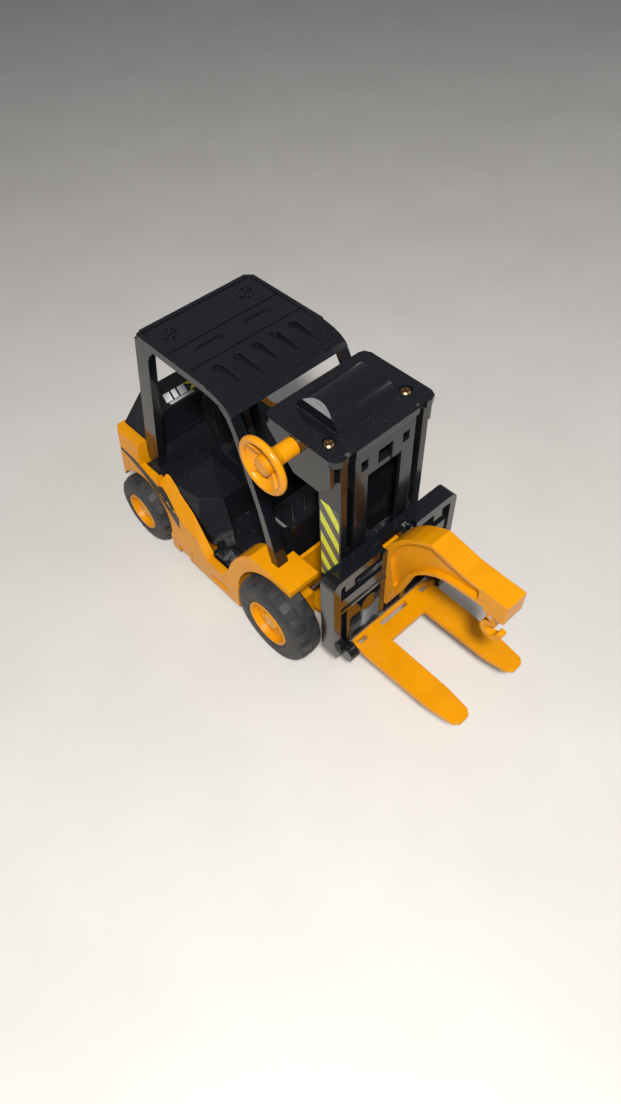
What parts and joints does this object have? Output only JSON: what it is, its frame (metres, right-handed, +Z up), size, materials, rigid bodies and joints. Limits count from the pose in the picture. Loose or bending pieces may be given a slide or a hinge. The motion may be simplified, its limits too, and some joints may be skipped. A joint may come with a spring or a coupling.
{
  "type": "toy forklift truck",
  "caption": "Plastic toy forklift with a hand winch that lifts the carriage, folding forks, a plug-in crane jib with hook, and pressed-on tractor wheels.",
  "frame": {"origin": "on the ground, under the middle of the toy's overall length and width", "axes": "+Z up, -Y towards the forks, -X to the driver's right where the handwheel is"},
  "size_m": [0.1046, 0.246, 0.1551],
  "materials": {
    "yellow_plastic": "moulded, satin gloss",
    "black_plastic": "moulded, satin",
    "gloss_black_plastic": "moulded, glossy",
    "steel": "bright",
    "bronze_screw": "bronze-coloured passivated steel",
    "tyre_rubber": "matte",
    "cord": "twisted cord"
  },
  "bodies": {
    "chassis": {"chassis_base": "yellow_plastic", "body_shell": "yellow_plastic", "cab_insert": "black_plastic", "seat": "black_plastic", "dashboard": "black_plastic", "overhead_guard": "gloss_black_plastic", "base_screws": "steel", "mast_frame": "black_plastic", "winch_housing": "gloss_black_plastic", "housing_screws": "bronze_screw", "lift_cord": "cord"},
    "front_wheelset": {"front_axle": "steel", "front_right_rim": "yellow_plastic", "front_left_rim": "yellow_plastic", "front_right_tyre": "tyre_rubber", "front_left_tyre": "tyre_rubber"},
    "rear_wheelset": {"rear_axle": "steel", "rear_right_rim": "yellow_plastic", "rear_left_rim": "yellow_plastic", "rear_right_tyre": "tyre_rubber", "rear_left_tyre": "tyre_rubber"},
    "carriage": {"carriage_frame": "gloss_black_plastic", "carriage_guide": "black_plastic", "fork_bearings": "gloss_black_plastic", "crane_jib": "yellow_plastic", "hook_pin": "steel"},
    "winch": {"winch_shaft": "steel", "winch_drum": "black_plastic", "drum_cord": "cord", "handwheel": "yellow_plastic"},
    "forks": {"fork_plate": "yellow_plastic"},
    "hook": {"crane_hook": "yellow_plastic"}
  },
  "joints": [
    {"name": "front_wheels_spin", "type": "hinge", "parent": "chassis", "child": "front_wheelset", "pos_m": [0, -0.01825, 0.0256], "axis": [1, 0, 0], "continuous": true},
    {"name": "rear_wheels_spin", "type": "hinge", "parent": "chassis", "child": "rear_wheelset", "pos_m": [0, 0.09375, 0.0216], "axis": [1, 0, 0], "continuous": true},
    {"name": "carriage_lift", "type": "slide", "parent": "chassis", "child": "carriage", "axis": [0, 0, 1], "range_m": [-0.02, 0.04], "deforming": ["lift_cord"]},
    {"name": "winch_turn", "type": "hinge", "parent": "chassis", "child": "winch", "pos_m": [0, -0.02235, 0.1411], "axis": [-1, 0, 0], "range_deg": [-96, 192]},
    {"name": "fork_fold", "type": "hinge", "parent": "carriage", "child": "forks", "pos_m": [0, -0.05905, 0.0254], "axis": [-1, 0, 0], "range_deg": [0, 90]},
    {"name": "hook_swing", "type": "hinge", "parent": "carriage", "child": "hook", "pos_m": [0, -0.11395, 0.0871], "axis": [1, 0, 0], "range_deg": [-40, 40]}
  ],
  "couplings": [
    {"joint": "winch_turn", "follows": "carriage_lift", "rad_per_m": 83.333}
  ]
}
